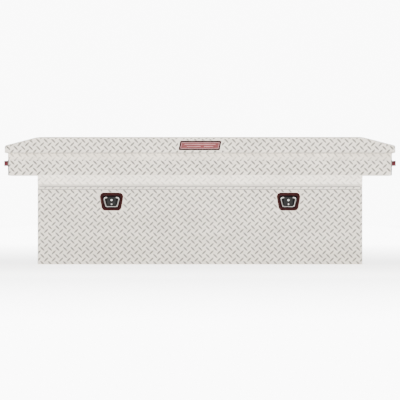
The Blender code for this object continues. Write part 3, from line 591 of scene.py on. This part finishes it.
PAN_TRIM = paint("pan_trim_red", (0.13, 0.013, 0.014), (0.35, 0.45), gloss=0.3)
BADGE_PALE = paint("badge_pale_enamel", (0.46, 0.25, 0.25), (0.35, 0.45), gloss=0.1)
LIP_METAL = brushed("lip_aluminium", (0.62, 0.585, 0.52), (0.35, 0.5))
TRAY_END_DARK = paint("tray_end_dark_strip", (0.085, 0.080, 0.075), (0.6, 0.75), gloss=0.1)
# dark sealant lines that are partly painted shadow under the lip and the flange
SEAM_SHADOW_DARK = paint("seam_shadow_dark", (0.24, 0.23, 0.21), (0.6, 0.75))
RING_STEEL = brushed("ring_satin_steel", (0.62, 0.60, 0.585), (0.26, 0.36), EVEN)
BOLT_ZINC = paint("bolt_bright_zinc", (0.80, 0.79, 0.77), (0.35, 0.5), metallic=0.4)


# ---- sheet work ------------------------------------------------------------------------------
def outline_of(low, high):
    """The rectangle between two corners, anticlockwise."""
    return [(low[0], low[1]), (high[0], low[1]), (high[0], high[1]), (low[0], high[1])]


def pan_outline(side, grow):
    """The tie-down pan's trapezoid flange, grown or shrunk, in (x, z)."""
    low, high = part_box("tie_down_pan_" + side)
    x, z = (low.x + high.x) / 2, (low.z + high.z) / 2
    top, bottom, tall = PAN_TOP_HALF + grow, PAN_BOTTOM_HALF + grow, PAN_HALF_HEIGHT + grow
    corners = [(-bottom, -tall), (bottom, -tall), (top, tall), (-top, tall)]
    return [(x + a, z + b)
            for a, b in fillet(corners, max(0.004, PAN_CORNER + 0.6 * grow), 6)]


def circle(middle, radius, steps=32):
    """Points round a circle, anticlockwise."""
    return [(middle[0] + radius * math.cos(k * math.tau / steps),
             middle[1] + radius * math.sin(k * math.tau / steps)) for k in range(steps)]


def build_hopper_walls():
    """The long front and rear of the hopper; the front has a hole behind each tie-down pan."""
    outline = outline_of((-HOPPER_HALF, 0.0), (HOPPER_HALF, HOPPER_HIGH.z))
    covered = outline_of((-1.0, FRONT_LOW.z - 0.0012), (1.0, 1.0))
    panel("hopper_front", "hopper_front_panel",
          Flat((0, HOPPER_LOW.y, 0), (1, 0, 0), (0, 0, 1)), outline,
          [pan_outline(side, -PAN_HOLE_INSET) for side in SIDES], phase=(0.0188, 0.0228),
          keep_clear=[covered] + [pan_outline(side, 0.0006) for side in SIDES])
    panel("hopper_rear", "hopper_rear_panel",
          Flat((0, REAR_PANEL_HIGH.y, 0), (-1, 0, 0), (0, 0, 1)), outline, keep_clear=[covered])


def build_hopper_side(side, sign):
    """An end wall of the hopper, cut to lie inside the folds of the tray's front and rear."""
    low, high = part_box("hopper_end_" + side)
    inner, rear = HOPPER_LOW.y + SHEET + 0.0002, REAR_PANEL_HIGH.y - SHEET - 0.0003
    step, fold = HOPPER_HIGH.z + 0.0003, FLANGE_TOP + 0.0005
    shape = [(inner, 0.0), (rear, 0.0), (rear, step), (REAR_PANEL_HIGH.y, step),
             (REAR_PANEL_HIGH.y, fold), (high.y, high.z), (low.y, high.z),
             (HOPPER_LOW.y, fold), (HOPPER_LOW.y, step), (inner, step)]
    panel("hopper_side_" + side, "hopper_end_" + side,
          Flat((sign * HOPPER_HALF, 0, 0), (0, sign, 0), (0, 0, 1)),
          [(sign * a, b) for a, b in shape][::sign], phase=(0.003, 0.006))


def build_tray_side(side, sign):
    """An end wall of the tray, with the hole for its lock and a clear ring round it."""
    shape = [(END_LOW.y, WING_UNDER), (END_HIGH.y, WING_UNDER), (END_HIGH.y, END_HIGH.z),
             (TRAY_NECK, END_HIGH.z), (TRAY_NECK, LID_EDGE), (END_LOW.y, TRAY_SHOULDER)]
    low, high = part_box("lock_bezel_" + side)
    lock = (sign * (low.y + high.y) / 2, (low.z + high.z) / 2)
    panel("tray_side_" + side, "tray_end_" + side,
          Flat((sign * END_HIGH.x, 0, 0), (0, sign, 0), (0, 0, 1)),
          [(sign * a, b) for a, b in shape][::sign], [circle(lock, LOCK_HOLE)],
          keep_clear=[circle(lock, LOCK_CLEAR)], phase=(0.0, 0.009))


def build_tray_folds():
    """The tray's folded front and rear; their lower bands are only as long as the hopper."""
    stations = (-FRONT_HIGH.x, -HOPPER_HALF, HOPPER_HALF, FRONT_HIGH.x)
    profile = [(TRAY_NECK, FRONT_HIGH.z), (TRAY_NECK, LID_EDGE), (FRONT_LOW.y, TRAY_SHOULDER),
               (FRONT_LOW.y, WING_UNDER), (FLANGE_FACE, FLANGE_TOP), (FLANGE_FACE, FRONT_LOW.z)]
    folded("tray_face", "tray_front", profile, stations, lambda i, k: i == 1 or k < 3,
           phase=(0.0197, 0.0248), plain=(0,), slanted_lit_bands=(1, 3), shaded_edges=(4,),
           cleared=(4, outline_of((-1.0, LIP_SEAM_SHADOW_LOW - 0.0004), (1.0, 1.0))))
    profile = [(REAR_LOW.y + SHEET, REAR_LOW.z), (REAR_LOW.y + SHEET, FLANGE_TOP),
               (REAR_HIGH.y, WING_UNDER), (REAR_HIGH.y, REAR_HIGH.z)]
    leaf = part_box("hinge_body_leaf")[0].z - 0.001
    folded("tray_back", "tray_rear", profile, stations, lambda i, k: i == 1 or k > 1,
           cleared=(2, outline_of((-1.0, leaf), (1.0, 1.0))))


def lid_shell(shrink, bevel):
    """The lid's closed skin, open below, with rounded corners and folds."""
    bm = bmesh.new()
    half, flat = LID_HIGH.x - shrink, LID_FLAT_HALF - LID_INNER_FOLD * shrink
    top, end = LID_HIGH.z - shrink, LID_END_TOP - shrink
    section = [(-half, LID_EDGE), (half, LID_EDGE), (half, end), (flat, top),
               (-flat, top), (-half, end)]
    rows = [[bm.verts.new((x, y, z)) for x, z in section]
            for y in (LID_LOW.y + shrink, LID_HIGH.y - shrink)]
    for k in range(6):
        m = (k + 1) % 6
        bm.faces.new((rows[0][k], rows[0][m], rows[1][m], rows[1][k]))
    bm.faces.new(rows[0][::-1])
    bm.faces.new(rows[1])
    bmesh.ops.recalc_face_normals(bm, faces=bm.faces)
    corners = [e for e in bm.edges if abs(e.verts[0].co.z - e.verts[1].co.z) > 0.01
               and abs(e.verts[0].co.x - e.verts[1].co.x) < 0.001]
    bmesh.ops.bevel(bm, geom=corners, offset=LID_CORNER - shrink, segments=6, profile=0.5,
                    affect="EDGES", clamp_overlap=True)
    folds = [e for e in bm.edges if min(v.co.z for v in e.verts) > LID_EDGE + 0.01]
    bmesh.ops.bevel(bm, geom=folds, offset=bevel, segments=4, profile=0.5,
                    affect="EDGES", clamp_overlap=True)
    for face in bm.faces:
        face.smooth = face.calc_area() < LARGE_FACE
    base = [f for f in bm.faces if f.normal.z < -0.9]
    bmesh.ops.delete(bm, geom=base, context="FACES_ONLY")
    return bm


def lid_plane(face):
    """The plane of one of the lid's large faces, with the pattern's origin on it."""
    n, at = face.normal.copy(), face.verts[0].co
    if abs(n.z) > 0.5:
        origin, across = n * n.dot(at), Vector((1, 0, 0))
    else:
        origin, across = (at.x, 0, LID_EDGE), Vector((0, 0, 1)).cross(n)
        if abs(n.y) > 0.9:
            origin = (0, at.y, LID_EDGE)
    across = (across - n * across.dot(n)).normalized()
    return Flat(origin, across, n.cross(across))


def build_lid():
    """The lid: a shell with rounded folds, its large faces patterned outside."""
    bm = lid_shell(0.0, LID_FOLD)
    layer = painted_shade_layer(bm)
    # painted shade on the lid's upright corners and ends
    for vert in bm.verts:
        if abs(vert.co.x) > LID_HIGH.x - LID_CORNER * 1.5:
            vert[layer] = EDGE_PAINTED_SHADE
    large = [f for f in bm.faces if f.calc_area() > LARGE_FACE]
    jobs = []
    for face in large:
        flat = lid_plane(face)
        clear = []
        if flat.n.y < -0.9:
            low, high = [flat.to_uv(corner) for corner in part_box("badge_frame")]
            clear = [outline_of((low[0] - BADGE_CLEAR, low[1] - BADGE_CLEAR),
                                (high[0] + BADGE_CLEAR, high[1] + BADGE_CLEAR))]
        jobs.append((list(face.verts), flat, clear))
    bmesh.ops.delete(bm, geom=large, context="FACES_ONLY")
    for loop, flat, clear in jobs:
        dress(bm, [loop], flat, (0.0, 0.0055), clear)
    inner = lid_shell(SHEET, LID_FOLD - 0.0003)
    bmesh.ops.reverse_faces(inner, faces=inner.faces)
    mesh = bpy.data.meshes.new("lid_inside")
    inner.to_mesh(mesh)
    inner.free()
    bm.from_mesh(mesh)
    bpy.data.meshes.remove(mesh)
    rim = [e for e in bm.edges if e.is_boundary]
    bmesh.ops.bridge_loops(bm, edges=rim)
    bmesh.ops.recalc_face_normals(bm, faces=bm.faces)
    new_piece("lid_skin", bm, "lid_shell", TREAD)


# ---- small parts in detail -------------------------------------------------------------------
def loft(bm, rings, closed=False, smooth=True):
    """A skin through rings of points, capped at both ends unless it closes on itself."""
    rows = [[bm.verts.new(p) for p in ring] for ring in rings]
    pairs = list(zip(rows, rows[1:])) + ([(rows[-1], rows[0])] if closed else [])
    for low, high in pairs:
        for k in range(len(low)):
            m = (k + 1) % len(low)
            bm.faces.new((low[k], low[m], high[m], high[k])).smooth = smooth
    if not closed:
        bm.faces.new(rows[0])
        bm.faces.new(rows[-1])
    bmesh.ops.recalc_face_normals(bm, faces=bm.faces)
    return bm


def block(bm, low, high, bevel=0.0):
    """A box, its edges eased where `bevel` is given."""
    made = bmesh.ops.create_cube(bm, size=1.0)["verts"]
    size, middle = Vector(high) - Vector(low), (Vector(high) + Vector(low)) / 2
    bmesh.ops.scale(bm, verts=made, vec=size)
    bmesh.ops.translate(bm, verts=made, vec=middle)
    if bevel:
        edges = list({e for v in made for e in v.link_edges})
        bmesh.ops.bevel(bm, geom=edges, offset=bevel, segments=2, affect="EDGES")
    return bm


def build_seams():
    """The lip and the sealed laps where the tray's flange meets the hopper front, partly painted
    shadow.
    """
    long = HOPPER_HALF
    extra("tray_lip", block(bmesh.new(), (0.007 - long, FLANGE_FACE - 0.0014, LIP_LOW),
                            (long - 0.007, FLANGE_FACE - 0.0001, LIP_HIGH), 0.0004),
          "tray_front", LIP_METAL)
    # painted shadow under the lip, drawn as a dark sealant line
    extra("tray_lip_seam_shadow", block(bmesh.new(), (0.008 - long, FLANGE_FACE - 0.0006, LIP_SEAM_SHADOW_LOW),
                                 (long - 0.008, FLANGE_FACE - 0.00005, LIP_LOW - 0.0001)),
          "tray_front", SEAM_SHADOW_DARK)
    # painted shadow under the flange, drawn as a dark sealant line
    extra("flange_seam_shadow", block(bmesh.new(), (-long, HOPPER_LOW.y - 0.0010, FLANGE_SEAM_SHADOW_LOW),
                               (long, HOPPER_LOW.y - 0.00005, FRONT_LOW.z - 0.00005)),
          "tray_front", SEAM_SHADOW_DARK)
    # a dark strip down each end of the tray's front
    for side, sign in SIDES.items():
        span = sorted((sign * (END_HIGH.x - 0.0034), sign * (END_HIGH.x - 0.0003)))
        extra("tray_end_strip_" + side,
              block(bmesh.new(), (span[0], FRONT_LOW.y - 0.0003, WING_UNDER + 0.0006),
                    (span[1], FRONT_LOW.y + 0.0006, TRAY_SHOULDER + 0.001)),
              "tray_front", TRAY_END_DARK)


def build_pan(side):
    """The recessed pan in detail: rolled flange, draughted walls, and its red edge trim."""
    low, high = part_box("tie_down_pan_" + side)
    front, back = low.y, high.y
    face = HOPPER_LOW.y - 0.0003

    def rings(steps):
        return [[(x, y, z) for x, z in pan_outline(side, grow)] for grow, y in steps]

    outside = [(-0.0145, back), (-0.0135, back - 0.002), (-0.0135, face), (-0.0012, face)]
    flange = [(-0.0012, front + 0.0012), (-0.0018, front + 0.0004), (-0.0030, front),
              (-0.0080, front + 0.0001), (-0.0110, front + 0.0006), (-0.0125, front + 0.0016)]
    cup = [(-0.0133, front + 0.0032), (-0.0151, back - 0.0050), (-0.0161, back - 0.0028),
           (-0.0181, back - 0.0020)]
    trim = [(0.0, face), (0.0, front + 0.0008), (-0.0004, front + 0.0002),
            (-0.0007, front + 0.0002), (-0.0010, front + 0.0008), (-0.0010, face)]
    new_piece("pan_" + side, loft(bmesh.new(), rings(outside + flange + cup)),
              "tie_down_pan_" + side, FINISHES["pan_maroon"])
    extra("pan_trim_" + side, loft(bmesh.new(), rings(trim), closed=True),
          "tie_down_pan_" + side, PAN_TRIM)


def slanted(x, z, y_front, y_back):
    """A bar with the badge's lean: x and z ranges at mid-height, its front edge eased."""
    mid, ease = (z[0] + z[1]) / 2, 0.0003
    points = [(at + (up - mid) * BADGE_SLOPE, up)
              for at, up in ((x[0], z[0]), (x[1], z[0]), (x[1], z[1]), (x[0], z[1]))]
    corners = fillet(points, 0.0010, 2)
    cx = sum(p[0] for p in corners) / len(corners)
    rings = [[(px - shrink * math.copysign(1, px - cx), y,
               pz - shrink * math.copysign(1, pz - mid)) for px, pz in corners]
             for shrink, y in ((0.0, y_back), (0.0, y_front + ease), (ease, y_front))]
    return loft(bmesh.new(), rings, smooth=False)


def badge_frame():
    """The badge's leaning frame: a flat ring with eased edges."""
    low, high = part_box("badge_frame")
    tip = BADGE_SLOPE * (high.z - low.z) / 2
    mid = (low.z + high.z) / 2
    rings = []
    for rim, y in ((-0.0012, high.y), (-0.0012, low.y + 0.0004), (-0.0008, low.y),
                   (BADGE_RIM - 0.0003, low.y), (BADGE_RIM, low.y + 0.0003),
                   (BADGE_RIM, high.y)):
        across, up = (high.x - low.x) / 2 - tip - rim, (high.z - low.z) / 2 - rim
        shift = up * BADGE_SLOPE
        corners = [(-across - shift, mid - up), (across - shift, mid - up),
                   (across + shift, mid + up), (shift - across, mid + up)]
        rings.append([(x, y, z) for x, z in fillet(corners, max(0.0010, 0.0040 - rim), 4)])
    return loft(bmesh.new(), rings, closed=True, smooth=False)


def build_badge():
    """A plain badge: dark frame, pale ground, red field, three pale stripes. No lettering."""
    low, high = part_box("badge_inlay")
    tall = high.z - low.z
    lean = BADGE_SLOPE * tall / 2
    left, right = low.x + lean, high.x - lean

    def inset(by):
        return (left + by, right - by), (low.z + by, high.z - by)

    new_piece("badge_ground", slanted(*inset(BADGE_GROUND_INSET), low.y + 0.0001, high.y),
              "badge_inlay", BADGE_PALE)
    new_piece("badge_frame_ring", badge_frame(), "badge_frame", FINISHES["badge_dark"])
    extra("badge_field", slanted(*inset(BADGE_FIELD_INSET), low.y - 0.0002, low.y + 0.0002),
          "badge_inlay", FINISHES["badge_red"])
    for k, (start, end, height) in enumerate(BADGE_STRIPES):
        at = low.z + tall * height
        stripe = slanted((left + (right - left) * start, left + (right - left) * end),
                         (at - BADGE_STRIPE_HALF, at + BADGE_STRIPE_HALF),
                         low.y - 0.0006, low.y - 0.0001)
        extra(f"badge_stripe_{k}", stripe, "badge_inlay", BADGE_PALE)


def build_button(side, sign):
    """The red push button: a shank, a round head with a shallow groove, and a bore for its plug."""
    low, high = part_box("push_button_" + side)
    inner, end = sorted((abs(low.x), abs(high.x)))
    y, z, radius = (low.y + high.y) / 2, (low.z + high.z) / 2, (high.z - low.z) / 2
    shank = [(inner, 0.0040), (BUTTON_BACK - 0.0002, 0.0040), (BUTTON_BACK, 0.0042),
             (BUTTON_BACK, radius - 0.0003), (BUTTON_BACK + 0.0003, radius)]
    groove = [(end - 0.0060, radius), (end - 0.0058, radius - 0.0002),
              (end - 0.0050, radius - 0.0004), (end - 0.0042, radius - 0.0002),
              (end - 0.0040, radius)]
    face = [(end - 0.0012, radius), (end - 0.0008, radius - 0.0001),
            (end - 0.0002, radius - 0.0006), (end, radius - 0.0012), (end, radius - 0.0014),
            (end, BUTTON_BORE + 0.0003)]
    bore = [(end - 0.0002, BUTTON_BORE), (end - 0.0004, BUTTON_BORE),
            (end - 0.0198, BUTTON_BORE), (end - 0.0200, BUTTON_BORE - 0.0002)]
    rings = [[(sign * x, v, w) for v, w in circle((y, z), r, 48)]
             for x, r in shank + groove + face + bore]
    new_piece("button_cap_" + side, loft(bmesh.new(), rings), "push_button_" + side,
              FINISHES["lock_red"])


def finish_carried_nodes():
    """Give the CAD nodes that stay visible their materials."""
    slots = {part["node"]: part["material_slot"] for part in frame["record"]["subparts"]}
    for name, node in nodes.items():
        if node.hide_render:
            continue
        finish = FINISHES[slots[name]]
        if name.startswith("tie_down_ring"):
            finish = RING_STEEL
        elif name.startswith("tie_down_bolt"):
            finish = BOLT_ZINC
        node.data.materials.clear()
        node.data.materials.append(finish)


# ---- stage, light, camera --------------------------------------------------------------------
FLOOR_RADIUS, FLOOR_DROP = 45.0, 0.0012               # the floor lies this far below the box
GLOW_HALF, GLOW_FADE, GLOW_SIDES = 2.0, 1.6, 0.25     # half width of its lit strip, and its fade
GLOW_NEAR, GLOW_FAR, GLOW_STRENGTH = 1.5, 14.0, (3.0, 9.5)   # the glow grows between these |y|
AMBIENT_FRONT, AMBIENT_AROUND, BACKDROP = 0.24, 0.9, 9.0     # strengths of the world's light
WARM = (1.0, 0.955, 0.89)
SOFTBOXES = {                  # place, aim, size and power in watts
    "overhead": ((0.0, -0.8, 3.6), (0.0, 0.0, 0.3), (4.5, 3.5), 80),
    "front_high": ((0.0, -5.0, 2.5), (0.0, 0.0, 0.5), (8.0, 1.3), 225),
    "front_left": ((-3.4, -4.0, 3.2), (0.0, 0.0, 0.3), (2.4, 1.6), 40),
}
FRAME_WIDTH, CAMERA_Z, CAMERA_DISTANCE, SENSOR = 1.861, 0.300, 30.0, 36.0


def floor_finish():
    """White that glows in a strip along Y, more strongly far away from the box."""
    n = Nodes("studio_white")
    colour = n.ramp(n.noise(0.6, 2.0), [(0.3, (0.93, 0.93, 0.93)), (0.7, (0.95, 0.95, 0.95))])
    split = n.add("ShaderNodeSeparateXYZ")
    n.link(n.coords, split.inputs["Vector"])
    across, along = [n.maths("ABSOLUTE", split.outputs[axis]) for axis in ("X", "Y")]
    fade = n.spread(across, GLOW_HALF, GLOW_HALF + GLOW_FADE, 1.0, GLOW_SIDES)
    recess_shade = n.spread(along, GLOW_NEAR, GLOW_FAR, *GLOW_STRENGTH)
    n.link(n.maths("MULTIPLY", fade, recess_shade), n.shader.inputs["Emission Strength"])
    n.shader.inputs["Emission Color"].default_value = (1.0, 1.0, 1.0, 1.0)
    return n.finish(colour, n.spread(n.noise(2.0), 0.3, 0.7, 0.85, 0.95), 0.0)


def stage():
    """A wide pale floor just under the box, softly lit from within to stay bright behind it."""
    bm = bmesh.new()
    bmesh.ops.create_circle(bm, cap_ends=True, radius=FLOOR_RADIUS, segments=96)
    bmesh.ops.translate(bm, verts=bm.verts, vec=(0.0, 0.0, -FLOOR_DROP))
    new_object("studio", bm, floor_finish())


def softbox(name, at, toward, size, power):
    light = bpy.data.lights.new(name, "AREA")
    light.shape, light.size, light.size_y = "RECTANGLE", *size
    light.energy = power
    light.color = WARM
    obj = bpy.data.objects.new(name, light)
    obj.location = at
    obj.rotation_mode = "QUATERNION"
    obj.rotation_quaternion = (Vector(toward) - Vector(at)).to_track_quat("-Z", "Y")
    bpy.context.collection.objects.link(obj)


def world():
    """Soft light all round, dimmer straight ahead of the front, and a bright low backdrop."""
    scene_world = bpy.data.worlds.new("studio_world")
    scene_world.use_nodes = True
    tree = scene_world.node_tree

    def part(kind, *sources, operation=None, ends=()):
        node = tree.nodes.new(kind)
        if operation:
            node.operation = operation
        for k, source in enumerate(sources):
            if isinstance(source, float):
                node.inputs[k].default_value = source
            else:
                tree.links.new(source, node.inputs[k])
        for key, value in zip(("From Min", "From Max", "To Min", "To Max"), ends):
            node.inputs[key].default_value = value
        return node.outputs

    def maths(operation, *sources):
        return part("ShaderNodeMath", *sources, operation=operation)[0]

    def spread(source, *ends):
        return part("ShaderNodeMapRange", source, ends=ends)[0]

    x, y, z = part("ShaderNodeSeparateXYZ", part("ShaderNodeTexCoord")["Generated"])
    # The backdrop is bright low down behind the box and fades to the sides and upward.
    narrow = spread(maths("ABSOLUTE", x), 0.10, 0.30, 1.0, 0.0)
    low = spread(z, 0.10, 0.25, 1.0, 0.0)
    beyond = maths("GREATER_THAN", y, 0.0)
    patch = maths("MULTIPLY", maths("MULTIPLY", narrow, low), beyond)
    ambient = spread(y, -0.96, -0.60, AMBIENT_FRONT, AMBIENT_AROUND)
    background = tree.nodes["Background"]
    background.inputs["Color"].default_value = (1.0, 1.0, 1.0, 1.0)
    tree.links.new(maths("ADD", ambient, maths("MULTIPLY", patch, BACKDROP)),
                   background.inputs["Strength"])
    bpy.context.scene.world = scene_world


def camera():
    """Straight at the front, framed so that FRAME_WIDTH fills the picture at the front face."""
    data = bpy.data.cameras.new("camera")
    data.sensor_width = SENSOR
    data.lens = SENSOR * (CAMERA_DISTANCE + END_LOW.y) / FRAME_WIDTH
    data.clip_end = 200.0
    obj = bpy.data.objects.new("camera", data)
    obj.location = (0.0, -CAMERA_DISTANCE, CAMERA_Z)
    obj.rotation_euler = (math.pi / 2, 0.0, 0.0)
    bpy.context.collection.objects.link(obj)
    bpy.context.scene.camera = obj


# ---- build everything ------------------------------------------------------------------------
build_hopper_walls()
for side, sign in SIDES.items():
    build_hopper_side(side, sign)
    build_tray_side(side, sign)
build_tray_folds()
build_lid()
build_seams()
for side, sign in SIDES.items():
    build_pan(side)
    build_button(side, sign)
build_badge()
finish_carried_nodes()
stage()
world()
for name, settings in SOFTBOXES.items():
    softbox(name, *settings)
camera()
